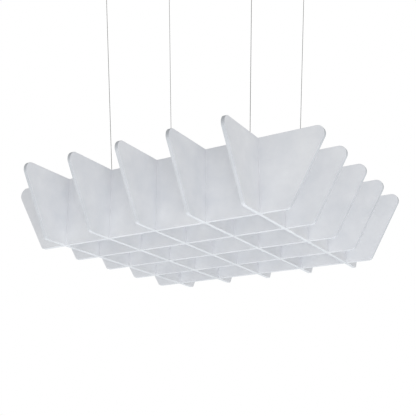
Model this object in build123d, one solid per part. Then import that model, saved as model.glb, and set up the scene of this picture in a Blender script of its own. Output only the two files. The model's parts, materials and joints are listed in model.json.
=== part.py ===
from build123d import *
import math
import os

# An acoustic ceiling baffle: ten felt panels slotted into an open lattice, hung on four thin
# steel wires. Millimetres, +Z up, +X right and +Y back as the photograph looks at it.
# The origin is on the ceiling, in the middle of the four ceiling anchors.

# Felt lattice
panels_each_way = 5
pitch = 188  # middle to middle of neighbouring panels
felt = 12  # thickness of a panel
panel_length = 1200  # over the rounded upper corners
panel_height = 245
end_slope = 30  # degrees from upright; a panel is shorter along its bottom edge
top_radius = 27  # rounded upper corners
bottom_radius = 16  # rounded lower corners
slot_clearance = 0.25  # between a slot's wall and the panel in it
lattice_drop = 1260  # ceiling to the middle of the lattice
lattice_shift = 23  # the lattice stands this far right of the middle of its wires

# Wires and the anchors that they hang from
wire_radius = 1
wire_clearance = 0.35  # between a wire and a bore that it runs through
wire_past_cell = 5  # gripper, outwards from the middle of its cell
anchor_past_x = 59  # a wire leans out by this much on its way up
anchor_past_y = 42
spare_wire = 70  # wire left over below a gripper
sleeve_length = 8
sleeve_wall = 0.45
crimp_clearance = 0.05
wire_in_ball = 2  # the wire runs this far past the middle of its ball

# Ceiling anchor: a base that is screwed up, and a cap that holds the ball of a wire
anchor_radius = 13
anchor_flange = 3
anchor_boss = 9
anchor_boss_height = 9
anchor_hole = 2.5
anchor_counterbore = 5
anchor_counterbore_depth = 6
anchor_height = 30
thread_clearance = 0.1
ball_radius = 2.5
ball_clearance = 0.06
ball_above_mouth = 5.5
mouth_flare = 1  # widening of the cap's mouth, which lets the wire lean
cap_nose = 8  # radius at the mouth
cap_nose_height = 9

# Hanger: a bracket and a backing plate, clamped to the felt by two screws
sheet = 2
bend_radius = 2
bracket_below_top = 4
cheek_height = 20
cheek_setback = 3  # from the front edge of the bracket
backing_sheet = 3  # tapped for the screws
plate_corner = 5
gripper_standoff = 13  # felt face to the axis of the gripper
gripper_edge = 11  # axis of the gripper to the front edge of the bracket
screw_radius = 2.5
screw_clearance = 0.25
screw_spread = 28
screw_side = 8  # axis of a screw to the side of its bracket and plate
screw_foot = 18  # and to their lower edges
screw_below_top = 34
screw_flats = 8  # across the flats of its hexagon head
screw_head_height = 3.5
screw_past_plate = 1

# Gripper: its parts are measured along the wire, up from the middle of its round shoulder
shoulder_radius = 6.5
seat_clearance = 0.06
neck_radius = 4
neck_clearance = 0.75  # round the neck, so that the gripper can lean with its wire
neck_past_bracket = 3.5
body_bottom = -22
taper_top = 4
taper_bottom = -10
taper_radius = 4.3
plug_top = -17
plug_flats = 11  # across the flats of its hexagon rim
plug_rim = 2
plunger_radius = 2.5
plunger_clearance = 0.2
plunger_past_neck = 5
plunger_bevel = 0.8
jaw_top = 2.5  # the plunger stands on the jaws
jaw_bottom = -7.5
jaw_clearance = 0.15  # from the taper that closes the jaws on the wire
jaw_bite = 0.2  # left between the jaws and the wire, so that the lattice can be raised
jaw_gap = 1.2  # between the two jaws
spring_radius = 3.2
spring_bore = 2.4

tall = 3 * panel_height
slope = math.tan(math.radians(end_slope))
half_top = panel_length / 2 + top_radius * (slope + math.hypot(1, slope) - 1)
half_bottom = half_top - panel_height * slope
middle = (panels_each_way - 1) / 2
offsets = [(i - middle) * pitch for i in range(panels_each_way)]
felt_top = panel_height / 2
bracket_width = screw_spread + 2 * screw_side
bracket_reach = gripper_standoff + gripper_edge
bracket_height = screw_below_top - bracket_below_top + screw_foot
flange_under = felt_top - bracket_below_top - sheet
seat_hole = neck_radius + neck_clearance
seat_depth = math.sqrt(shoulder_radius**2 - seat_hole**2) + seat_clearance
neck_top = seat_depth + sheet + neck_past_bracket
plunger_top = neck_top + plunger_past_neck
throat_radius = plunger_radius + plunger_clearance
grip_z = flange_under - seat_depth - lattice_drop
grip_x = 1.5 * pitch + wire_past_cell
grip_y = pitch + felt / 2 + gripper_standoff
ball_z = -anchor_height + ball_above_mouth
anchor_x = grip_x + anchor_past_x
anchor_y = grip_y + anchor_past_y
wire_bore = wire_radius + wire_clearance


def save(node, *solids):
    shape = solids[0] if len(solids) == 1 else Compound(children=list(solids))
    export_step(shape, f"parts/{node}.step")
    print(f"{node}: {len(solids)} solid(s), {sum(s.volume for s in solids) / 1000:.2f} cm3")


def turned(points):
    """A solid of revolution about Z from its half section, given as (radius, height) points."""
    section = Plane.XZ * Polygon(*points, align=None)
    return revolve(section, axis=Axis.Z)


def hexagon(flats, height):
    """A hexagonal prism that stands on the XY plane, by its width across the flats."""
    return extrude(RegularPolygon(flats / 2, 6, major_radius=False), height)


def tube_between(low, high, radius):
    run = Vector(*high) - Vector(*low)
    return Plane(origin=low, z_dir=run) * extrude(Circle(radius), run.length)


# Felt panels


def panel_blank():
    outline = Polygon(
        (-half_top, felt_top),
        (-half_bottom, -felt_top),
        (half_bottom, -felt_top),
        (half_top, felt_top),
        align=None,
    )
    upper = outline.vertices().group_by(Axis.Y)[-1]
    outline = fillet(upper, top_radius)
    lower = [v for v in outline.vertices() if abs(v.Y + felt_top) < 0.001]
    outline = fillet(lower, bottom_radius)
    return extrude(Plane.XZ * outline, felt / 2, both=True)


def slot(along, open_side):
    """Half of a cross-lap joint: it runs from the middle of the panel out of one long edge."""
    wide = felt + 2 * slot_clearance
    return Pos(along, 0, open_side * tall / 2) * Box(wide, 3 * felt, tall)


def across_panel(row):
    """A panel that runs left to right, with its slots open at the top."""
    panel = panel_blank()
    for along in offsets:
        panel -= slot(along, 1)
    if abs(abs(offsets[row]) - pitch) < 0.001:
        for side in (-1, 1):
            for screw in (-1, 1):
                x = side * grip_x - lattice_shift + screw * screw_spread / 2
                hole = Cylinder(screw_radius + screw_clearance, 3 * felt, rotation=(90, 0, 0))
                panel -= Pos(x, 0, felt_top - screw_below_top) * hole
    return Pos(lattice_shift, offsets[row], -lattice_drop) * panel


def lengthwise_panel(column):
    """A panel that runs front to back, with its slots open at the bottom."""
    panel = panel_blank()
    for along in offsets:
        panel -= slot(along, -1)
    place = Pos(lattice_shift + offsets[column], 0, -lattice_drop)
    return place * Rot(0, 0, 90) * panel


# Ceiling anchors


def anchor_base():
    boss_bottom = -anchor_flange - anchor_boss_height
    return turned([
        (anchor_hole, 0),
        (anchor_radius, 0),
        (anchor_radius, -anchor_flange),
        (anchor_boss, -anchor_flange),
        (anchor_boss, boss_bottom),
        (anchor_counterbore, boss_bottom),
        (anchor_counterbore, boss_bottom + anchor_counterbore_depth),
        (anchor_hole, boss_bottom + anchor_counterbore_depth),
    ])


def anchor_cap():
    """A funnel of 45 degrees holds the ball, and the mouth flares so that the wire can lean."""
    seat = ball_radius + ball_clearance
    inside = anchor_boss + thread_clearance
    funnel = ball_z - seat * math.sqrt(2)
    cap = turned([
        (0, -anchor_flange),
        (anchor_radius, -anchor_flange),
        (anchor_radius, -anchor_height + cap_nose_height),
        (cap_nose, -anchor_height),
        (0, -anchor_height),
    ])
    mouth = wire_bore + mouth_flare
    hollow = turned([
        (0, 0),
        (inside, 0),
        (inside, funnel + inside),
        (wire_bore, funnel + wire_bore),
        (mouth, -anchor_height),
        (0, -anchor_height),
    ])
    return cap - hollow


# Hanger hardware. A bracket is made for the front side of its panel: the felt is behind y = 0,
# z = 0 is the top edge of the felt, and the gripper stands in front at x = 0.


def screw_places():
    return [(side * screw_spread / 2, -screw_below_top) for side in (-1, 1)]


def screw_holes(solid):
    for x, z in screw_places():
        hole = Cylinder(screw_radius + screw_clearance, 4 * felt, rotation=(90, 0, 0))
        solid -= Pos(x, 0, z) * hole
    return solid


def bracket():
    top = -bracket_below_top
    section = Polygon(
        (0, top),
        (-bracket_reach, top),
        (-bracket_reach, top - sheet),
        (-sheet, top - sheet),
        (-sheet, top - bracket_height),
        (0, top - bracket_height),
        align=None,
    )
    inner = section.vertices().sort_by_distance((-sheet, top - sheet))[0]
    section = fillet(inner, bend_radius)
    outer = section.vertices().sort_by_distance((0, top))[0]
    section = fillet(outer, bend_radius + sheet / 2)
    folded = extrude(Plane.YZ * section, bracket_width / 2, both=True)
    cheek = Polygon(
        (-sheet / 2, top - sheet / 2),
        (-bracket_reach + cheek_setback, top - sheet / 2),
        (-sheet / 2, top - cheek_height),
        align=None,
    )
    for side in (-1, 1):
        wall = extrude(Plane.YZ * cheek, sheet / 2, both=True)
        folded += Pos(side * (bracket_width / 2 - sheet / 2), 0, 0) * wall
    front = folded.edges().filter_by(Axis.Z).group_by(Axis.Y)[0]
    folded = fillet(front, plate_corner)
    low = folded.edges().filter_by(Axis.Y).group_by(Axis.Z)[0]
    folded = fillet(low, plate_corner)
    folded -= Pos(0, -gripper_standoff, top) * Cylinder(seat_hole, 4 * sheet)
    return screw_holes(folded)


def backing_plate():
    centre = Pos(0, felt + backing_sheet / 2, -screw_below_top)
    plate = centre * Box(bracket_width, backing_sheet, 2 * screw_foot)
    plate = chamfer(plate.edges().filter_by(Axis.Y), plate_corner)
    for x, z in screw_places():
        tapped = Cylinder(screw_radius + crimp_clearance, 4 * felt, rotation=(90, 0, 0))
        plate -= Pos(x, 0, z) * tapped
    return plate


def clamp_screw():
    """A screw along +Z from its head's seat, long enough to pass the tapped backing plate."""
    length = sheet + felt + backing_sheet + screw_past_plate
    shank = extrude(Circle(screw_radius), length)
    return Pos(0, 0, -screw_head_height) * hexagon(screw_flats, screw_head_height) + shank


def clamp_screws():
    return [Pos(x, -sheet, z) * Rot(-90, 0, 0) * clamp_screw() for x, z in screw_places()]


# Gripper


def taper_at(height):
    share = (taper_top - height) / (taper_top - taper_bottom)
    return throat_radius + share * (taper_radius - throat_radius)


def gripper_body():
    """The round shoulder bears up against the bracket, so the body can lean with its wire."""
    neck_foot = math.sqrt(shoulder_radius**2 - neck_radius**2)
    shoulder_turn = math.degrees(math.atan2(neck_foot, neck_radius))
    outline = Polyline((0, neck_top), (0, body_bottom), (shoulder_radius, body_bottom), (shoulder_radius, 0))
    outline += CenterArc((0, 0), shoulder_radius, 0, shoulder_turn)
    outline += Polyline((neck_radius, neck_foot), (neck_radius, neck_top), (0, neck_top))
    solid = revolve(Plane.XZ * make_face(outline), axis=Axis.Z)
    return solid - turned([
        (0, neck_top + 1),
        (throat_radius, neck_top + 1),
        (throat_radius, taper_top),
        (taper_radius, taper_bottom),
        (taper_radius, body_bottom - 1),
        (0, body_bottom - 1),
    ])


def plunger():
    return turned([
        (wire_bore, jaw_top),
        (plunger_radius, jaw_top),
        (plunger_radius, plunger_top - plunger_bevel),
        (plunger_radius - plunger_bevel, plunger_top),
        (wire_bore, plunger_top),
    ])


def jaws():
    """Two halves of a cone round the wire; the taper shuts them as the wire pulls them up."""
    cone = turned([
        (wire_radius + jaw_bite, jaw_bottom),
        (taper_at(jaw_bottom) - jaw_clearance, jaw_bottom),
        (taper_at(jaw_top) - jaw_clearance, jaw_top),
        (wire_radius + jaw_bite, jaw_top),
    ])
    return (cone - Box(3 * taper_radius, jaw_gap, 6 * taper_radius)).solids()


def plunger_spring():
    """The room that the coiled spring takes, as a plain sleeve of its two diameters."""
    return turned([
        (spring_bore, plug_top),
        (spring_radius, plug_top),
        (spring_radius, jaw_bottom),
        (spring_bore, jaw_bottom),
    ])


def gripper_plug():
    """Screwed into the body under the spring, by a rim that takes a spanner."""
    rim = Pos(0, 0, body_bottom - plug_rim) * hexagon(plug_flats, plug_rim)
    shank = Pos(0, 0, body_bottom) * extrude(Circle(taper_radius - thread_clearance), plug_top - body_bottom)
    return rim + shank - Cylinder(wire_bore, -4 * body_bottom)


# Wires


def wire_run(side_x, side_y):
    """The ends of one wire: in the ball at the ceiling, and where its spare length stops."""
    ball = Vector(side_x * anchor_x, side_y * anchor_y, ball_z)
    grip = Vector(side_x * grip_x, side_y * grip_y, grip_z)
    down = (grip - ball).normalized()
    tail = grip + down * (plug_rim - body_bottom + spare_wire)
    return ball, grip, down, tail


def wire_ends(ball, down, tail):
    """The ball that hangs in the anchor, and a hexagonal sleeve, closed below, on the spare end."""
    bore = wire_radius + crimp_clearance
    stop = Plane(origin=ball, z_dir=-down) * (Sphere(ball_radius) - Cylinder(bore, 3 * ball_radius))
    sleeve = hexagon(2 * (bore + sleeve_wall), sleeve_length)
    sleeve -= Pos(0, 0, sleeve_wall) * extrude(Circle(bore), sleeve_length)
    foot = tail + down * (sleeve_wall + crimp_clearance)
    return stop, Plane(origin=foot, z_dir=-down) * sleeve


os.makedirs("parts", exist_ok=True)
for i in range(panels_each_way):
    save(f"across_panel_{i + 1}", across_panel(i))
    save(f"lengthwise_panel_{i + 1}", lengthwise_panel(i))

all_screws = []
corners = {
    "front_left": (-1, -1),
    "front_right": (1, -1),
    "back_left": (-1, 1),
    "back_right": (1, 1),
}
for name, (side_x, side_y) in corners.items():
    ball, grip, down, tail = wire_run(side_x, side_y)
    in_ball = ball - down * wire_in_ball
    save(f"{name}_wire", tube_between(tail, in_ball, wire_radius))
    save(f"{name}_wire_ends", *wire_ends(ball, down, tail))

    ceiling = Pos(side_x * anchor_x, side_y * anchor_y, 0)
    save(f"{name}_anchor_base", ceiling * anchor_base())
    save(f"{name}_anchor_cap", ceiling * anchor_cap())

    along = Plane(origin=grip, z_dir=-down)
    save(f"{name}_gripper_body", along * gripper_body())
    save(f"{name}_gripper_plunger", along * plunger())
    save(f"{name}_gripper_jaws", *[along * jaw for jaw in jaws()])
    save(f"{name}_gripper_spring", along * plunger_spring())
    save(f"{name}_gripper_plug", along * gripper_plug())

    face = Pos(side_x * grip_x, side_y * (pitch + felt / 2), felt_top - lattice_drop)
    if side_y > 0:
        face = face * Rot(0, 0, 180)
    save(f"{name}_bracket", face * bracket())
    save(f"{name}_backing_plate", face * backing_plate())
    all_screws += [face * screw for screw in clamp_screws()]
    lean = math.degrees(math.acos(-down.Z))
    print(f"{name} wire: {(in_ball - tail).length:.1f} mm long, straight, leans {lean:.2f} degrees")

save("clamp_screws", *all_screws)
rise = ball_z - grip_z
past = math.hypot(anchor_past_x, anchor_past_y)
print(f"a wire turns {1000 * past / (rise**2 + past**2):.5f} rad for each metre that the lattice is raised")
print(f"ball at {ball_z} mm, shoulder middle at {grip_z:.2f} mm")
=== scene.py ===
import bpy
import bmesh
import json
import math
from mathutils import Matrix, Vector


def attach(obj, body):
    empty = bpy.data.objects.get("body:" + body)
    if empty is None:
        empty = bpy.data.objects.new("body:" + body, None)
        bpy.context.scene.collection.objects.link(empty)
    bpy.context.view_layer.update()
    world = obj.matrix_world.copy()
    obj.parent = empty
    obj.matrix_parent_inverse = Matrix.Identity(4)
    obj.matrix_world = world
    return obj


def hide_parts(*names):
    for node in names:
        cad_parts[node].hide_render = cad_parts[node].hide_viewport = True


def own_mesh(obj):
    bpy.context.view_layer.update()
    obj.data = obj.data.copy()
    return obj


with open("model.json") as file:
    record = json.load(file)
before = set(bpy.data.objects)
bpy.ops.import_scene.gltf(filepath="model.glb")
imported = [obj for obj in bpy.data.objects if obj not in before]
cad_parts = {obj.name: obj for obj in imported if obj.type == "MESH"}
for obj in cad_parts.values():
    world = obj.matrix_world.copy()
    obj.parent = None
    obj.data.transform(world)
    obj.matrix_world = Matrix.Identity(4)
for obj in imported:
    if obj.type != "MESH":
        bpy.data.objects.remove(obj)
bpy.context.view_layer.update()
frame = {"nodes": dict(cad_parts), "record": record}        # nodes and record of the imported model
print("frame loaded:", len(frame["nodes"]), "nodes")

mm = 0.001
corners = {"front_left": (-1, -1), "front_right": (1, -1), "back_left": (-1, 1), "back_right": (1, 1)}
sharpFold = math.radians(35)     # turned faces that meet more steeply than this stay crisp
slack = 0.01                     # mm; radii as near as this count as the same


# small tools

def linear(hexColour):
    # sRGB hex to a linear colour with alpha
    values = [int(hexColour[i:i + 2], 16) / 255 for i in (1, 3, 5)]
    return [v / 12.92 if v <= 0.04045 else ((v + 0.055) / 1.055) ** 2.4 for v in values] + [1.0]


def addNode(tree, kind, settings=None, inputs=None):
    # inputs are named or numbered; a socket is linked and anything else is set
    node = tree.nodes.new(kind)
    for key, value in (settings or {}).items():
        setattr(node, key, value)
    for key, value in (inputs or {}).items():
        if isinstance(value, bpy.types.NodeSocket):
            tree.links.new(value, node.inputs[key])
        else:
            node.inputs[key].default_value = value
    return node


def newTree(name, sizes, materials=("Material",)):
    # a geometry tree whose named inputs are the sizes that it is made from
    tree = bpy.data.node_groups.new(name, "GeometryNodeTree")
    tree.is_modifier = True
    tree.interface.new_socket("Geometry", in_out="INPUT", socket_type="NodeSocketGeometry")
    for label, value in sizes.items():
        kind = "NodeSocketInt" if isinstance(value, int) else "NodeSocketFloat"
        tree.interface.new_socket(label, in_out="INPUT", socket_type=kind).default_value = value
    for label in materials:
        tree.interface.new_socket(label, in_out="INPUT", socket_type="NodeSocketMaterial")
    tree.interface.new_socket("Geometry", in_out="OUTPUT", socket_type="NodeSocketGeometry")
    return tree, addNode(tree, "NodeGroupInput").outputs


def closeTree(tree, geometry, material, edge=None, edgeMaterial=None):
    # real geometry in one material, and in another where the edge socket says so
    real = addNode(tree, "GeometryNodeRealizeInstances", inputs={"Geometry": geometry})
    painted = addNode(tree, "GeometryNodeSetMaterial",
                      inputs={"Geometry": real.outputs[0], "Material": material})
    if edge:
        painted = addNode(tree, "GeometryNodeSetMaterial", inputs={
            "Geometry": painted.outputs[0], "Selection": edge, "Material": edgeMaterial})
    addNode(tree, "NodeGroupOutput", inputs={"Geometry": painted.outputs[0]})


def growMesh(name, source, tree, values, extra=()):
    # runs a geometry tree, then any (kind, settings) modifiers, and gives back a plain mesh
    carrier = bpy.data.objects.new(name + "Carrier", source)
    bpy.context.collection.objects.link(carrier)
    nodes = carrier.modifiers.new("nodes", "NODES")
    nodes.node_group = tree
    for socket in tree.interface.items_tree:
        if socket.in_out == "INPUT" and socket.name in values:
            nodes[socket.identifier] = values[socket.name]
    for kind, settings in extra:
        modifier = carrier.modifiers.new(kind.lower(), kind)
        for key, value in settings.items():
            setattr(modifier, key, value)
    bpy.context.view_layer.update()
    mesh = bpy.data.meshes.new_from_object(carrier.evaluated_get(bpy.context.evaluated_depsgraph_get()))
    carrier.modifiers.clear()
    bpy.data.objects.remove(carrier)
    mesh.name = name
    return mesh


def eased(section, size):
    # a closed half section with each corner cut back by this much, or by a third of a short side
    points = []
    for i, corner in enumerate(section):
        here = Vector(corner)
        for other in (section[i - 1], section[(i + 1) % len(section)]):
            away = Vector(other) - here
            points.append(tuple(here + away.normalized() * min(size, away.length / 3)))
    return points


def spin(name, section, sides, shape=None, hollow=True):
    # turns (radius, height) points in mm round Z, outside upwards; shape gives a radius by its angle
    points, faces = [], []
    for radius, height in section:
        for k in range(sides):
            angle = 2 * math.pi * k / sides
            reach = shape(radius, height, angle) if shape else radius
            points.append((reach * math.cos(angle) * mm, reach * math.sin(angle) * mm, height * mm))
    rows = len(section)
    for row in range(rows if hollow else rows - 1):
        low, high = row * sides, (row + 1) % rows * sides
        for k in range(sides):
            after = (k + 1) % sides
            faces.append((low + k, low + after, high + after, high + k))
    if not hollow:
        faces += [tuple(reversed(range(sides))), tuple(range((rows - 1) * sides, rows * sides))]
    mesh = bpy.data.meshes.new(name)
    mesh.from_pydata(points, [], faces)
    mesh.shade_smooth()
    mesh.set_sharp_from_angle(angle=sharpFold)
    return mesh


def hexagonReach(flats, angle):
    return flats / 2 / math.cos(angle % (math.pi / 3) - math.pi / 6)


def cutCorners(sizes, start):
    # the cone that cuts a hexagon's corners, in steps that the six flats can still interrupt
    return [(sizes["endFace"] + share * (sizes["corner"] - sizes["endFace"]), start + share * sizes["cut"])
            for share in (0, 0.25, 0.5, 0.75, 1)]


def knurled(sizes):
    # a shape for spin: fine upright teeth on the widest stretch between two heights
    low, high = sizes["band"]

    def shape(radius, height, angle):
        if radius < sizes["radius"] - slack or not low < height < high:
            return radius
        return radius - sizes["toothDepth"] * (1 - abs(math.cos(sizes["teeth"] * angle / 2)))
    return shape


def addPiece(name, mesh, body, nodes, material=None):
    piece = bpy.data.objects.new(name, mesh)
    bpy.context.collection.objects.link(piece)
    if material:
        mesh.materials.clear()
        mesh.materials.append(material)
    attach(piece, body)
    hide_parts(*nodes)
    return piece


def newMaterial(name):
    material = bpy.data.materials.new(name)
    material.use_nodes = True
    tree = material.node_tree
    tree.nodes.clear()
    shader = addNode(tree, "ShaderNodeBsdfPrincipled")
    addNode(tree, "ShaderNodeOutputMaterial", inputs={"Surface": shader.outputs[0]})
    place = addNode(tree, "ShaderNodeTexCoord").outputs["Object"]
    return material, tree, shader, place


# photograph's view: looking up from the front right, below the lattice

cameraSettings = {
    "place": (1.3350, -2.3111, -2.0354),
    "turn": 0.5221,          # radians left of +Y
    "tilt": 0.3039,          # radians above level
    "roll": -0.0030,
    "lens": 64.35,
    "sensor": 36.0,
    "farthest": 60,          # metres, past which nothing is drawn
}

turnCos, turnSin = math.cos(cameraSettings["turn"]), math.sin(cameraSettings["turn"])
tiltCos, tiltSin = math.cos(cameraSettings["tilt"]), math.sin(cameraSettings["tilt"])
rollCos, rollSin = math.cos(cameraSettings["roll"]), math.sin(cameraSettings["roll"])
forward = Vector((-turnSin * tiltCos, turnCos * tiltCos, tiltSin))
right = Vector((turnCos, turnSin, 0))
up = right.cross(forward)
right, up = rollCos * right + rollSin * up, rollCos * up - rollSin * right
lens = bpy.data.cameras.new("lens")
lens.lens = cameraSettings["lens"]
lens.sensor_width = cameraSettings["sensor"]
lens.clip_end = cameraSettings["farthest"]
camera = bpy.data.objects.new("camera", lens)
bpy.context.collection.objects.link(camera)
turned = Matrix((right, up, -forward)).transposed().to_4x4()
turned.translation = cameraSettings["place"]
camera.matrix_world = turned
bpy.context.scene.camera = camera
print("camera set")


# lines of the four wires: 2 mm galvanised rope, six strands, pulled straight by the lattice

wireSettings = {
    "radius": 1.0 * mm,
    "strands": 6,
    "groove": 0.12,          # share of the radius between two strands
    "layLength": 12.0 * mm,  # one turn of a strand
    "sidesPerStrand": 3,
    "ringsPerTurn": 8,
    "ball": (0.346, 0.249, -0.0245),         # middle of the back right wire's ball
    "grip": (0.287, 0.207, -1.147997),       # middle of its gripper's round shoulder
    "pastGrip": 94.0 * mm,
    "pastBall": 2.0 * mm,
    "stations": (0, 0.08, 0.3, 0.55, 0.8, 1),     # the route's points, as shares of the way up
    "tones": ("#3b3835", "#56524e"),
    "toneStops": (0.35, 0.7),
    "grime": mm / 0.9,       # size of a dark spot
    "grimeDetail": 3.0,
    "metallic": 0.6,         # dust and oxide hide part of the metal
    "roughness": 0.6,
}


def wireLine(name):
    # middles of a wire's ball and of its gripper's round shoulder
    side = Vector((*corners[name], 1))
    return Vector(wireSettings["ball"]) * side, Vector(wireSettings["grip"]) * side


def upWire(name):
    # stands a piece on the wire's line, with its zero in the middle of the round shoulder
    ball, grip = wireLine(name)
    return Matrix.Translation(grip) @ (ball - grip).to_track_quat("Z", "Y").to_matrix().to_4x4()


# felt: pressed polyester fibre sheet, cut to shape and slotted together

feltSettings = {
    "length": 1200 * mm,     # over the rounded top corners
    "height": 245 * mm,
    "thickness": 12 * mm,
    "endSlope": 30.0,        # degrees from upright
    "topRadius": 27 * mm,
    "bottomRadius": 16 * mm,
    "cornerSteps": 14,
    "pitch": 188 * mm,
    "slots": 5,
    "slotWidth": 12.1 * mm,
    "edgeRound": 0.9 * mm,
    "edgeSteps": 3,
    "rimFold": 1.0,          # radians; the sheet's edges that fold more than this are rounded over
    "edgeFacing": 0.5,       # faces that look less than this along the thickness are cut edges
    "middle": (23 * mm, 0, -1260 * mm),
    "drilledRows": (1, 3),   # the second and fourth across panels carry the hangers
    "screwPlaces": (-324 * mm, 250 * mm),    # each hanger's first screw, along the panel
    "screwSpread": 28 * mm,
    "screwHeight": 88.5 * mm,
    "screwHole": 2.75 * mm,
    "holeSides": 24,
    "cutDepth": 100 * mm,    # of the cutters, more than the sheet's thickness
    "weld": 0.001 * mm,
    "faceTones": ("#d7dadf", "#dee0e4", "#e5e7ea"),
    "edgePaintedShadeTones": ("#b7bbc0", "#bec2c7", "#c6c9ce"),   # painted shade: darker than the faces, to tone down the light that the cut edges catch
    "toneStops": (0.36, 0.53, 0.7),
    "cloud": 70 * mm,        # size of the soft lighter and darker patches
    "cloudDetail": 3.0,
    "cloudRoughness": 0.55,
    "fibre": 3.0 * mm,       # length of a fibre, drawn coarse enough to show close up
    "fibreDetail": 6.0,
    "fibreRoughness": 0.7,
    "fibreBend": 0.8,
    "fibreShare": 0.45,      # of the colour's variation; the rest is the clouding
    "layers": (((1, 1, 7), (0.5, 0.3, 0)), ((6, 6, 1), (0.3, 0.5, 0))),    # stretch and turn of the fibres
    "relief": 0.5,
    "reliefDepth": 0.3 * mm,
    "roughness": 0.95,
    "ior": 1.45,
    "specular": 0.25,
    "sheen": 0.15,           # loose fibre ends catch light at a low angle
    "sheenRoughness": 0.6,
}

# the outline's pointed corners, before they are rounded
slope = math.tan(math.radians(feltSettings["endSlope"]))
pastCorner = feltSettings["topRadius"] * (slope + math.hypot(1, slope) - 1)
feltSettings["topLength"] = feltSettings["length"] + 2 * pastCorner
feltSettings["bottomLength"] = feltSettings["topLength"] - 2 * slope * feltSettings["height"]


def pressedFelt(name, tones, sizes):
    # needled polyester felt: matt, a faint clouding from the carding, fibres that cross each other
    material, tree, shader, place = newMaterial(name)
    cloud = addNode(tree, "ShaderNodeTexNoise", inputs={
        "Vector": place, "Scale": 1 / sizes["cloud"], "Detail": sizes["cloudDetail"],
        "Roughness": sizes["cloudRoughness"]})
    layers = []
    for stretch, turn in sizes["layers"]:
        laid = addNode(tree, "ShaderNodeMapping",
                       inputs={"Vector": place, "Scale": stretch, "Rotation": turn})
        layers.append(addNode(tree, "ShaderNodeTexNoise", inputs={
            "Vector": laid.outputs[0], "Scale": 1 / sizes["fibre"], "Detail": sizes["fibreDetail"],
            "Roughness": sizes["fibreRoughness"], "Distortion": sizes["fibreBend"]}).outputs[0])
    fibre = addNode(tree, "ShaderNodeMath", {"operation": "MAXIMUM"}, {0: layers[0], 1: layers[1]})
    mixed = addNode(tree, "ShaderNodeMix", {"data_type": "FLOAT"},
                    {0: sizes["fibreShare"], 2: cloud.outputs[0], 3: fibre.outputs[0]})
    tone = addNode(tree, "ShaderNodeValToRGB", inputs={"Fac": mixed.outputs[0]})
    ramp = tone.color_ramp
    ramp.elements.new(sizes["toneStops"][1])
    for i, colour in enumerate(tones):
        ramp.elements[i].position = sizes["toneStops"][i]
        ramp.elements[i].color = linear(colour)
    relief = addNode(tree, "ShaderNodeBump", inputs={
        "Strength": sizes["relief"], "Distance": sizes["reliefDepth"], "Height": fibre.outputs[0]})
    tree.links.new(tone.outputs[0], shader.inputs["Base Color"])
    tree.links.new(relief.outputs[0], shader.inputs["Normal"])
    shader.inputs["Roughness"].default_value = sizes["roughness"]
    shader.inputs["IOR"].default_value = sizes["ior"]
    shader.inputs["Specular IOR Level"].default_value = sizes["specular"]
    shader.inputs["Sheen Weight"].default_value = sizes["sheen"]
    shader.inputs["Sheen Roughness"].default_value = sizes["sheenRoughness"]
    return material


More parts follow.
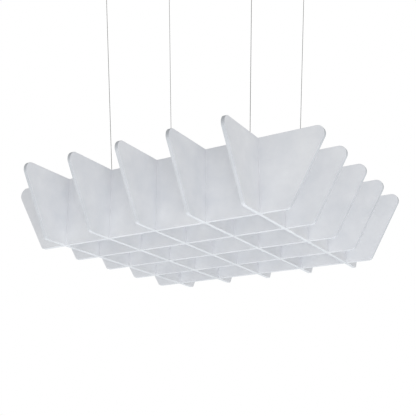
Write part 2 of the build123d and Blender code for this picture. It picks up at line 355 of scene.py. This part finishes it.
def feltPanel(sizes):
    # outline with rounded corners, given its thickness, then slotted halfway from one long edge
    tree, given = newTree("feltPanel", {
        "Top Length": sizes["topLength"], "Bottom Length": sizes["bottomLength"], "Height": sizes["height"],
        "Thickness": sizes["thickness"], "Top Radius": sizes["topRadius"],
        "Bottom Radius": sizes["bottomRadius"], "Pitch": sizes["pitch"], "Slots": sizes["slots"],
        "Slot Width": sizes["slotWidth"], "Slot Side": 1.0, "Screw Spread": sizes["screwSpread"],
        "Screw Left": sizes["screwPlaces"][0], "Screw Right": sizes["screwPlaces"][1],
        "Screw Height": sizes["screwHeight"], "Screw Hole": 0.0,
    }, ("Face Material", "Edge Material"))
    outline = addNode(tree, "GeometryNodeCurvePrimitiveQuadrilateral", {"mode": "TRAPEZOID"},
                      {"Height": given["Height"], "Bottom Width": given["Bottom Length"],
                       "Top Width": given["Top Length"], "Offset": 0.0})
    position = addNode(tree, "GeometryNodeInputPosition")
    spot = addNode(tree, "ShaderNodeSeparateXYZ", inputs={0: position.outputs[0]})
    upper = addNode(tree, "FunctionNodeCompare", {"data_type": "FLOAT", "operation": "GREATER_THAN"},
                    {0: spot.outputs["Y"], 1: 0.0})
    corner = addNode(tree, "GeometryNodeSwitch", {"input_type": "FLOAT"},
                     {"Switch": upper.outputs[0], "False": given["Bottom Radius"],
                      "True": given["Top Radius"]})
    rounded = addNode(tree, "GeometryNodeFilletCurve", {"mode": "POLY"},
                      {"Curve": outline.outputs[0], "Count": sizes["cornerSteps"],
                       "Radius": corner.outputs[0]})
    face = addNode(tree, "GeometryNodeFillCurve", {"mode": "NGONS"}, {"Curve": rounded.outputs[0]})
    thick = addNode(tree, "GeometryNodeExtrudeMesh", {"mode": "FACES"},
                    {"Mesh": face.outputs[0], "Offset Scale": given["Thickness"]})
    back = addNode(tree, "GeometryNodeFlipFaces", inputs={"Mesh": face.outputs[0]})
    shell = addNode(tree, "GeometryNodeJoinGeometry")
    tree.links.new(thick.outputs["Mesh"], shell.inputs[0])
    tree.links.new(back.outputs[0], shell.inputs[0])
    closed = addNode(tree, "GeometryNodeMergeByDistance",
                     inputs={"Geometry": shell.outputs[0], "Distance": sizes["weld"]})
    halfThick = addNode(tree, "ShaderNodeMath", {"operation": "MULTIPLY"}, {0: given["Thickness"], 1: -0.5})
    sunk = addNode(tree, "ShaderNodeCombineXYZ", inputs={"Z": halfThick.outputs[0]})
    sheet = addNode(tree, "GeometryNodeSetPosition",
                    inputs={"Geometry": closed.outputs[0], "Offset": sunk.outputs[0]})
    # only the outline is rounded over, not the slots
    fold = addNode(tree, "GeometryNodeInputMeshEdgeAngle").outputs["Unsigned Angle"]
    rim = addNode(tree, "FunctionNodeCompare", {"data_type": "FLOAT", "operation": "GREATER_THAN"},
                  {0: fold, 1: sizes["rimFold"]})
    marked = addNode(tree, "GeometryNodeStoreNamedAttribute", {"data_type": "FLOAT", "domain": "EDGE"},
                     {"Geometry": sheet.outputs[0], "Selection": rim.outputs[0],
                      "Name": "bevel_weight_edge", "Value": 1.0})
    # slots: one block for each crossing panel
    span = addNode(tree, "ShaderNodeMath", {"operation": "SUBTRACT"}, {0: given["Slots"], 1: 1.0})
    reach = addNode(tree, "ShaderNodeMath", {"operation": "MULTIPLY"},
                    {0: span.outputs[0], 1: given["Pitch"]})
    first = addNode(tree, "ShaderNodeMath", {"operation": "MULTIPLY"}, {0: reach.outputs[0], 1: -0.5})
    lift = addNode(tree, "ShaderNodeMath", {"operation": "MULTIPLY"},
                   {0: given["Slot Side"], 1: given["Height"]})
    halfLift = addNode(tree, "ShaderNodeMath", {"operation": "MULTIPLY"}, {0: lift.outputs[0], 1: 0.5})
    start = addNode(tree, "ShaderNodeCombineXYZ", inputs={"X": first.outputs[0], "Y": halfLift.outputs[0]})
    step = addNode(tree, "ShaderNodeCombineXYZ", inputs={"X": given["Pitch"]})
    places = addNode(tree, "GeometryNodeMeshLine", {"mode": "OFFSET"},
                     {"Count": given["Slots"], "Start Location": start.outputs[0], "Offset": step.outputs[0]})
    block = addNode(tree, "ShaderNodeCombineXYZ",
                    inputs={"X": given["Slot Width"], "Y": given["Height"], "Z": sizes["cutDepth"]})
    cutter = addNode(tree, "GeometryNodeMeshCube", inputs={"Size": block.outputs[0]})
    cutters = addNode(tree, "GeometryNodeInstanceOnPoints",
                      inputs={"Points": places.outputs[0], "Instance": cutter.outputs[0]})
    slotted = addNode(tree, "GeometryNodeMeshBoolean", {"operation": "DIFFERENCE", "solver": "EXACT"},
                      {"Mesh 1": marked.outputs[0], "Mesh 2": cutters.outputs[0]})
    # screw holes for the hangers, where the radius isn't zero
    holes = addNode(tree, "GeometryNodeJoinGeometry")
    for side in ("Screw Left", "Screw Right"):
        nearHole = addNode(tree, "ShaderNodeCombineXYZ",
                           inputs={"X": given[side], "Y": given["Screw Height"]})
        apart = addNode(tree, "ShaderNodeCombineXYZ", inputs={"X": given["Screw Spread"]})
        pair = addNode(tree, "GeometryNodeMeshLine", {"mode": "OFFSET"},
                       {"Count": 2, "Start Location": nearHole.outputs[0], "Offset": apart.outputs[0]})
        tree.links.new(pair.outputs[0], holes.inputs[0])
    drill = addNode(tree, "GeometryNodeMeshCylinder", inputs={
        "Vertices": sizes["holeSides"], "Radius": given["Screw Hole"], "Depth": sizes["cutDepth"]})
    drills = addNode(tree, "GeometryNodeInstanceOnPoints",
                     inputs={"Points": holes.outputs[0], "Instance": drill.outputs[0]})
    drilled = addNode(tree, "GeometryNodeMeshBoolean", {"operation": "DIFFERENCE", "solver": "EXACT"},
                      {"Mesh 1": slotted.outputs[0], "Mesh 2": drills.outputs[0]})
    wanted = addNode(tree, "FunctionNodeCompare", {"data_type": "FLOAT", "operation": "GREATER_THAN"},
                     {0: given["Screw Hole"], 1: 0.0})
    chosen = addNode(tree, "GeometryNodeSwitch", {"input_type": "GEOMETRY"},
                     {"Switch": wanted.outputs[0], "False": slotted.outputs[0], "True": drilled.outputs[0]})
    # faces that look sideways are the cut edges; they get the darker edge felt, which is painted shade
    normal = addNode(tree, "GeometryNodeInputNormal")
    facing = addNode(tree, "ShaderNodeSeparateXYZ", inputs={0: normal.outputs[0]})
    flat = addNode(tree, "ShaderNodeMath", {"operation": "ABSOLUTE"}, {0: facing.outputs["Z"]})
    cut = addNode(tree, "FunctionNodeCompare", {"data_type": "FLOAT", "operation": "LESS_THAN"},
                  {0: flat.outputs[0], 1: sizes["edgeFacing"]})
    closeTree(tree, chosen.outputs[0], given["Face Material"], cut.outputs[0], given["Edge Material"])
    return tree


panelTree = feltPanel(feltSettings)
faceFelt = pressedFelt("pressedPolyesterFelt", feltSettings["faceTones"], feltSettings)
# the cut edges get a darker copy of the felt: painted shade against the light that they catch
shadedEdgeFelt = pressedFelt("cutFeltEdgePaintedShade", feltSettings["edgePaintedShadeTones"], feltSettings)
upright = Matrix.Rotation(math.pi / 2, 4, "X")
quarterTurn = Matrix.Rotation(math.pi / 2, 4, "Z")
lattice = Matrix.Translation(feltSettings["middle"])
# across panels are slotted down from the top edge, lengthwise ones up from the bottom edge
for row in range(feltSettings["slots"]):
    out = (row - (feltSettings["slots"] - 1) / 2) * feltSettings["pitch"]
    for kind, slotSide in (("across", 1.0), ("lengthwise", -1.0)):
        hung = kind == "across" and row in feltSettings["drilledRows"]
        name = f"{kind}_felt_{row + 1}"
        mesh = growMesh(name, bpy.data.meshes.new("blank"), panelTree, {
            "Slot Side": slotSide, "Screw Hole": feltSettings["screwHole"] if hung else 0.0,
            "Face Material": faceFelt, "Edge Material": shadedEdgeFelt,
        }, extra=[("BEVEL", {"width": feltSettings["edgeRound"], "segments": feltSettings["edgeSteps"],
                             "limit_method": "WEIGHT", "harden_normals": True})])
        if kind == "across":
            place = lattice @ Matrix.Translation((0, out, 0)) @ upright
        else:
            place = lattice @ Matrix.Translation((out, 0, 0)) @ quarterTurn @ upright
        mesh.transform(place)
        addPiece(name, mesh, "lattice", [f"{kind}_panel_{row + 1}"])
print("felt panels cut and slotted:", len(mesh.polygons), "faces in the last")


# steel finishes; parts that aren't rebuilt below keep their CAD shapes

platingSettings = {
    "markDetail": 4.0,
    "toneStops": (0.3, 0.7),
    "smoother": 0.06,        # where the marks are rubbed, off the roughness
    "duller": 0.1,           # where they are deep, on top of it
    "relief": 0.12,
    "reliefDepth": 0.05 * mm,
}


def platedSteel(name, dark, light, roughness, grain, drawn=(1, 1, 1)):
    # plate over worked steel: faint marks, stretched the way that the steel was turned or drawn
    sizes = platingSettings
    material, tree, shader, place = newMaterial(name)
    worked = addNode(tree, "ShaderNodeMapping", inputs={"Vector": place, "Scale": drawn})
    marks = addNode(tree, "ShaderNodeTexNoise", inputs={
        "Vector": worked.outputs[0], "Scale": 1 / grain, "Detail": sizes["markDetail"]})
    tone = addNode(tree, "ShaderNodeValToRGB", inputs={"Fac": marks.outputs[0]})
    for i, colour in enumerate((dark, light)):
        tone.color_ramp.elements[i].position = sizes["toneStops"][i]
        tone.color_ramp.elements[i].color = linear(colour)
    rubbed = addNode(tree, "ShaderNodeMapRange", inputs={
        "Value": marks.outputs[0], "To Min": roughness - sizes["smoother"],
        "To Max": roughness + sizes["duller"]})
    relief = addNode(tree, "ShaderNodeBump", inputs={
        "Strength": sizes["relief"], "Distance": sizes["reliefDepth"], "Height": marks.outputs[0]})
    tree.links.new(tone.outputs[0], shader.inputs["Base Color"])
    tree.links.new(rubbed.outputs[0], shader.inputs["Roughness"])
    tree.links.new(relief.outputs[0], shader.inputs["Normal"])
    shader.inputs["Metallic"].default_value = 1.0
    return material


finishes = {
    "satin_nickel": platedSteel("turnedSatinNickel", "#b3afa8", "#c4c0b9", 0.32, 4 * mm, (1, 1, 14)),
    "polished_steel": platedSteel("polishedSteelRod", "#c3c4c6", "#d2d3d4", 0.18, 3 * mm),
    "hardened_steel": platedSteel("oilBlackenedSteel", "#4b4b4e", "#5c5c5f", 0.4, 2 * mm),
    "spring_steel": platedSteel("drawnSpringSteel", "#7a7a7d", "#8d8d90", 0.35, 2 * mm),
    "zinc_plated_sheet": platedSteel("zincPlatedSheet", "#b7bcc2", "#cbd0d5", 0.38, 9 * mm, (1, 1, 4)),
    "zinc_plated_screw": platedSteel("zincPlatedScrew", "#b2b6ba", "#c9ccd0", 0.3, 2 * mm),
    "crimped_steel": platedSteel("crimpedSteel", "#8e9093", "#a3a5a8", 0.4, 2 * mm),
}
for part in frame["record"]["subparts"]:
    if part["material_slot"] in finishes:
        item = frame["nodes"][part["node"]]
        item.data.materials.clear()
        item.data.materials.append(finishes[part["material_slot"]])


# ceiling anchors' caps, knurled for the hand that screws them up; sizes are in mm

capSettings = {
    "radius": 13,
    "top": -3,
    "mouth": -30,
    "mouthRadius": 2.35,     # wider than the bore, because the wire leans
    "nose": 8,
    "noseTop": -21,
    "inside": 9.1,           # goes over the base's boss
    "ball": -24.5,
    "seat": 2.56,            # the ball's radius and its clearance
    "bore": 1.35,
    "band": (-19, -7),       # heights between which the teeth are
    "teeth": 60,
    "toothDepth": 0.3,
    "ease": 0.25,
}


def knurledCap(sizes):
    low, high = sizes["band"]
    funnel = sizes["ball"] - sizes["seat"] * math.sqrt(2)
    section = [
        (sizes["mouthRadius"], sizes["mouth"]), (sizes["nose"], sizes["mouth"]),
        (sizes["radius"], sizes["noseTop"]), (sizes["radius"], low), (sizes["radius"], high),
        (sizes["radius"], sizes["top"]), (sizes["inside"], sizes["top"]),
        (sizes["inside"], funnel + sizes["inside"]), (sizes["bore"], funnel + sizes["bore"]),
    ]
    return spin("knurledCap", eased(section, sizes["ease"]), 4 * sizes["teeth"], knurled(sizes))


for name, (sideX, sideY) in corners.items():
    mesh = knurledCap(capSettings)
    mesh.transform(Matrix.Translation((sideX * wireSettings["ball"][0], sideY * wireSettings["ball"][1], 0)))
    addPiece(name + "_knurled_cap", mesh, "ceiling_anchors",
                          [name + "_anchor_cap"], finishes["satin_nickel"])
print("ceiling caps turned")


# grippers: a knurled body, a plug with a spanner rim, and a coiled spring between plug and jaws;
# sizes are in mm, up the wire's line from the middle of the round shoulder

gripperSettings = {
    "radius": 6.5,           # of the body and of its round shoulder
    "neck": 4,
    "neckTop": 9.997,
    "throat": 2.7,           # the plunger's way in
    "taperTop": 4,
    "taperBottom": -10,
    "taper": 4.3,            # radius at its bottom, where the bore for spring and plug starts
    "bottom": -22,
    "band": (-20.5, -14.5),
    "teeth": 40,
    "toothDepth": 0.2,
    "ease": 0.2,
    "arcSteps": 8,
}
plugSettings = {
    "top": -17,
    "rimTop": -22,
    "bottom": -24,
    "flats": 11,             # across the hexagon's flats
    "endFace": 5.4,
    "corner": 6.36,
    "cut": 0.55,
    "shank": 4.2,
    "bore": 1.35,
    "ease": 0.1,
    "sides": 48,
}
springSettings = {
    "meanRadius": 2.8 * mm,
    "wireRadius": 0.4 * mm,
    "low": -17 * mm,
    "high": -7.6 * mm,
    "turns": 6.5,
    "steps": 24,             # to a turn
    "sides": 12,
    "pressed": 0.73,         # share of its height with the plunger down
}


def knurledBody(sizes):
    low, high = sizes["band"]
    steps = sizes["arcSteps"]
    turn = math.acos(sizes["neck"] / sizes["radius"])
    arc = [(sizes["radius"] * math.cos(turn * i / steps), sizes["radius"] * math.sin(turn * i / steps))
           for i in range(steps + 1)]
    section = [
        (sizes["taper"], sizes["bottom"]), (sizes["radius"], sizes["bottom"]),
        (sizes["radius"], low), (sizes["radius"], high), *arc,
        (sizes["neck"], sizes["neckTop"]), (sizes["throat"], sizes["neckTop"]),
        (sizes["throat"], sizes["taperTop"]), (sizes["taper"], sizes["taperBottom"]),
    ]
    return spin("knurledBody", eased(section, sizes["ease"]), 4 * sizes["teeth"], knurled(sizes))


def spannerPlug(sizes):
    section = [
        (sizes["bore"], sizes["bottom"]), *cutCorners(sizes, sizes["bottom"]),
        (sizes["corner"], sizes["rimTop"]), (sizes["shank"], sizes["rimTop"]),
        (sizes["shank"], sizes["top"]), (sizes["bore"], sizes["top"]),
    ]
    return spin("spannerPlug", eased(section, sizes["ease"]), sizes["sides"],
                lambda radius, height, angle: min(radius, hexagonReach(sizes["flats"], angle)))


def coilSpring(sizes):
    room = sizes["high"] - sizes["low"] - 2 * sizes["wireRadius"]
    tree, given = newTree("coilSpring", {
        "Mean Radius": sizes["meanRadius"], "Wire Radius": sizes["wireRadius"], "Height": room,
        "Turns": sizes["turns"], "Steps": sizes["steps"], "Sides": sizes["sides"]})
    coil = addNode(tree, "GeometryNodeCurveSpiral", inputs={
        "Resolution": given["Steps"], "Rotations": given["Turns"], "Start Radius": given["Mean Radius"],
        "End Radius": given["Mean Radius"], "Height": given["Height"]})
    wire = addNode(tree, "GeometryNodeCurvePrimitiveCircle",
                   inputs={"Resolution": given["Sides"], "Radius": given["Wire Radius"]})
    wound = addNode(tree, "GeometryNodeCurveToMesh",
                    inputs={"Curve": coil.outputs[0], "Profile Curve": wire.outputs[0], "Fill Caps": True})
    closeTree(tree, wound.outputs[0], given["Material"])
    return tree


springTree = coilSpring(springSettings)
for name in corners:
    stand = upWire(name)
    body = knurledBody(gripperSettings)
    body.transform(stand)
    addPiece(name + "_knurled_gripper", body, "lattice", [name + "_gripper_body"],
             finishes["satin_nickel"])
    plug = spannerPlug(plugSettings)
    plug.transform(stand)
    addPiece(name + "_spanner_plug", plug, "lattice", [name + "_gripper_plug"],
             finishes["satin_nickel"])
    spring = growMesh(name + "_coil_spring", bpy.data.meshes.new("blank"), springTree,
                      {"Material": finishes["spring_steel"]})
    spring.transform(stand @ Matrix.Translation((0, 0, springSettings["low"] + springSettings["wireRadius"])))
    coiled = addPiece(name + "_coil_spring", spring, "lattice", [name + "_gripper_spring"])
    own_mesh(coiled)
print("grippers fitted")


# clamp screws: 5 mm hexagon heads with rolled threads, through bracket, felt and backing plate

screwSettings = {
    "flats": 8,              # mm, as the next ones
    "head": 3.5,
    "endFace": 3.8,
    "corner": 4.62,
    "cut": 0.47,
    "radius": 2.5,
    "length": 18,
    "threadPitch": 0.8,
    "threadDepth": 0.45,
    "ringsPerPitch": 6,
    "sides": 36,
    "spread": 28 * mm,
    "below": 34 * mm,        # down from the panel's top edge
    "sheet": 2 * mm,         # the bracket's, under the heads
}


def clampScrew(sizes):
    rise = sizes["threadPitch"] / sizes["ringsPerPitch"]
    shank = [(sizes["radius"], rise * i) for i in range(1, int(sizes["length"] / rise) + 1)]

    def shape(radius, height, angle):
        if height < rise / 2:
            return min(radius, hexagonReach(sizes["flats"], angle))
        turn = (height / sizes["threadPitch"] - angle / (2 * math.pi)) % 1
        thread = radius - sizes["threadDepth"] * abs(2 * turn - 1)
        # the point is turned down in a cone
        return min(thread, radius - 2 * sizes["threadDepth"] + sizes["length"] - height)

    section = [*cutCorners(sizes, -sizes["head"]), (sizes["corner"], 0), (sizes["radius"], 0), *shank]
    return spin("clampScrew", section, sizes["sides"], shape, hollow=False)


screws = bmesh.new()
panelFace = feltSettings["pitch"] + feltSettings["thickness"] / 2
panelTop = feltSettings["middle"][2] + feltSettings["height"] / 2
for sideX, sideY in corners.values():
    hanger = Matrix.Translation((sideX * wireSettings["grip"][0], sideY * panelFace, panelTop))
    if sideY > 0:
        hanger = hanger @ Matrix.Rotation(math.pi, 4, "Z")
    for side in (-1, 1):
        screw = clampScrew(screwSettings)
        seat = (side * screwSettings["spread"] / 2, -screwSettings["sheet"], -screwSettings["below"])
        screw.transform(hanger @ Matrix.Translation(seat) @ Matrix.Rotation(-math.pi / 2, 4, "X"))
        screws.from_mesh(screw)
allScrews = bpy.data.meshes.new("hexagonClampScrews")
screws.to_mesh(allScrews)
screws.free()
addPiece("hexagon_clamp_screws", allScrews, "lattice", ["clamp_screws"],
         finishes["zinc_plated_screw"])
print("clamp screws driven")


# wire ropes, with the sizes given above

def wireRope(sizes):
    # a lobed circle, twisted along a curve; turns and rings are given for each rope
    tree, given = newTree("wireRope", {
        "Radius": sizes["radius"], "Strands": sizes["strands"], "Groove": sizes["groove"], "Turns": 1.0,
        "Rings": sizes["ringsPerTurn"], "Sides": sizes["strands"] * sizes["sidesPerStrand"]})
    path = addNode(tree, "GeometryNodeResampleCurve",
                   inputs={"Curve": given["Geometry"], "Count": given["Rings"]})
    along = addNode(tree, "GeometryNodeSplineParameter").outputs["Factor"]
    turns = addNode(tree, "ShaderNodeMath", {"operation": "MULTIPLY"}, {0: given["Turns"], 1: 2 * math.pi})
    twist = addNode(tree, "ShaderNodeMath", {"operation": "MULTIPLY"}, {0: along, 1: turns.outputs[0]})
    twisted = addNode(tree, "GeometryNodeSetCurveTilt",
                      inputs={"Curve": path.outputs[0], "Tilt": twist.outputs[0]})
    circle = addNode(tree, "GeometryNodeCurvePrimitiveCircle",
                     inputs={"Resolution": given["Sides"], "Radius": given["Radius"]})
    around = addNode(tree, "GeometryNodeSplineParameter").outputs["Factor"]
    angle = addNode(tree, "ShaderNodeMath", {"operation": "MULTIPLY"}, {0: around, 1: math.pi})
    lobe = addNode(tree, "ShaderNodeMath", {"operation": "MULTIPLY"},
                   {0: angle.outputs[0], 1: given["Strands"]})
    wave = addNode(tree, "ShaderNodeMath", {"operation": "COSINE"}, {0: lobe.outputs[0]})
    crest = addNode(tree, "ShaderNodeMath", {"operation": "ABSOLUTE"}, {0: wave.outputs[0]})
    hollow = addNode(tree, "ShaderNodeMath", {"operation": "SUBTRACT"}, {0: 1.0, 1: crest.outputs[0]})
    depth = addNode(tree, "ShaderNodeMath", {"operation": "MULTIPLY"},
                    {0: hollow.outputs[0], 1: given["Groove"]})
    scale = addNode(tree, "ShaderNodeMath", {"operation": "SUBTRACT"}, {0: 1.0, 1: depth.outputs[0]})
    position = addNode(tree, "GeometryNodeInputPosition")
    lobed = addNode(tree, "ShaderNodeVectorMath", {"operation": "SCALE"},
                    {0: position.outputs[0], "Scale": scale.outputs[0]})
    profile = addNode(tree, "GeometryNodeSetPosition",
                      inputs={"Geometry": circle.outputs[0], "Position": lobed.outputs[0]})
    rope = addNode(tree, "GeometryNodeCurveToMesh", inputs={
        "Curve": twisted.outputs[0], "Profile Curve": profile.outputs[0], "Fill Caps": True})
    closeTree(tree, rope.outputs[0], given["Material"])
    return tree


def ropeSteel(sizes):
    # weathered steel rope: dull brownish grey, spotted with grime
    material, tree, shader, place = newMaterial("weatheredSteelRope")
    grime = addNode(tree, "ShaderNodeTexNoise", inputs={
        "Vector": place, "Scale": 1 / sizes["grime"], "Detail": sizes["grimeDetail"]})
    tone = addNode(tree, "ShaderNodeValToRGB", inputs={"Fac": grime.outputs[0]})
    for i, colour in enumerate(sizes["tones"]):
        tone.color_ramp.elements[i].position = sizes["toneStops"][i]
        tone.color_ramp.elements[i].color = linear(colour)
    tree.links.new(tone.outputs[0], shader.inputs["Base Color"])
    shader.inputs["Metallic"].default_value = sizes["metallic"]
    shader.inputs["Roughness"].default_value = sizes["roughness"]
    return material


ropeTree = wireRope(wireSettings)
ropeMaterial = ropeSteel(wireSettings)
for name in corners:
    ball, grip = wireLine(name)
    down = (grip - ball).normalized()
    tail = grip + down * wireSettings["pastGrip"]
    top = ball - down * wireSettings["pastBall"]
    route = bpy.data.curves.new(name + "_route", "CURVE")
    route.dimensions = "3D"
    spline = route.splines.new("NURBS")
    stations = [tail.lerp(top, share) for share in wireSettings["stations"]]
    spline.points.add(len(stations) - 1)
    for point, station in zip(spline.points, stations):
        point.co = (*station, 1)
    spline.order_u = 3
    spline.use_endpoint_u = True
    carrier = bpy.data.objects.new(name + "_routeCarrier", route)
    bpy.context.collection.objects.link(carrier)
    bpy.context.view_layer.update()
    line = bpy.data.meshes.new_from_object(carrier.evaluated_get(bpy.context.evaluated_depsgraph_get()))
    bpy.data.objects.remove(carrier)
    long = (top - tail).length
    turns = long / wireSettings["layLength"]
    mesh = growMesh(name + "_wire_rope", route, ropeTree, {
        "Turns": turns, "Rings": round(turns * wireSettings["ringsPerTurn"]), "Material": ropeMaterial})
    rope = addPiece(name + "_wire_rope", mesh, name + "_wire", [name + "_wire"])
print("wires laid")


# studio: white all round, a pale floor far below

studioSettings = {
    "skyColour": "#ffffff",
    "skyLight": 0.59,
    "seenLight": 1.0,        # white where the camera, gloss or glass looks at the sky
    "floorHeight": -6.4,
    "floorSize": 120.0,
    "floorColour": "#fbfbfa",
    "floorRoughness": 0.9,
    "lamps": [
        {"place": (3.2, -3.6, -4.2), "size": 3.0, "power": 74},
        {"place": (0.4, -0.8, -4.6), "size": 4.0, "power": 122},
    ],
}

world = bpy.data.worlds.new("studio")
bpy.context.scene.world = world
world.use_nodes = True
sky = world.node_tree
sky.nodes.clear()
rays = addNode(sky, "ShaderNodeLightPath").outputs
looks = addNode(sky, "ShaderNodeMath", {"operation": "MAXIMUM"},
                {0: rays["Is Camera Ray"], 1: rays["Is Glossy Ray"]})
allLooks = addNode(sky, "ShaderNodeMath", {"operation": "MAXIMUM"},
                   {0: looks.outputs[0], 1: rays["Is Transmission Ray"]})
skyColour = linear(studioSettings["skyColour"])
lit = addNode(sky, "ShaderNodeBackground",
              inputs={"Color": skyColour, "Strength": studioSettings["skyLight"]})
seen = addNode(sky, "ShaderNodeBackground",
               inputs={"Color": skyColour, "Strength": studioSettings["seenLight"]})
litOrSeen = addNode(sky, "ShaderNodeMixShader",
                    inputs={0: allLooks.outputs[0], 1: lit.outputs[0], 2: seen.outputs[0]})
addNode(sky, "ShaderNodeOutputWorld", inputs={"Surface": litOrSeen.outputs[0]})

for number, lamp in enumerate(studioSettings["lamps"]):
    data = bpy.data.lights.new(f"softbox{number + 1}", "AREA")
    data.shape = "SQUARE"
    data.size = lamp["size"]
    data.energy = lamp["power"]
    box = bpy.data.objects.new(data.name, data)
    bpy.context.collection.objects.link(box)
    box.location = lamp["place"]
    aim = Vector(feltSettings["middle"]) - Vector(lamp["place"])
    box.rotation_euler = aim.to_track_quat("-Z", "Y").to_euler()
    box.visible_camera = False

half = studioSettings["floorSize"] / 2
floorMesh = bpy.data.meshes.new("floor")
floorMesh.from_pydata([(-half, -half, 0), (half, -half, 0), (half, half, 0), (-half, half, 0)],
                      [], [(0, 1, 2, 3)])
floorMesh.transform(Matrix.Translation((0, 0, studioSettings["floorHeight"])))
floor = bpy.data.objects.new("floor", floorMesh)
bpy.context.collection.objects.link(floor)
floorPaint, floorTree, floorShader, floorPlace = newMaterial("matFloorPaint")
floorShader.inputs["Base Color"].default_value = linear(studioSettings["floorColour"])
floorShader.inputs["Roughness"].default_value = studioSettings["floorRoughness"]
floorMesh.materials.append(floorPaint)
bpy.context.scene.view_settings.view_transform = "Standard"
print("studio lit")
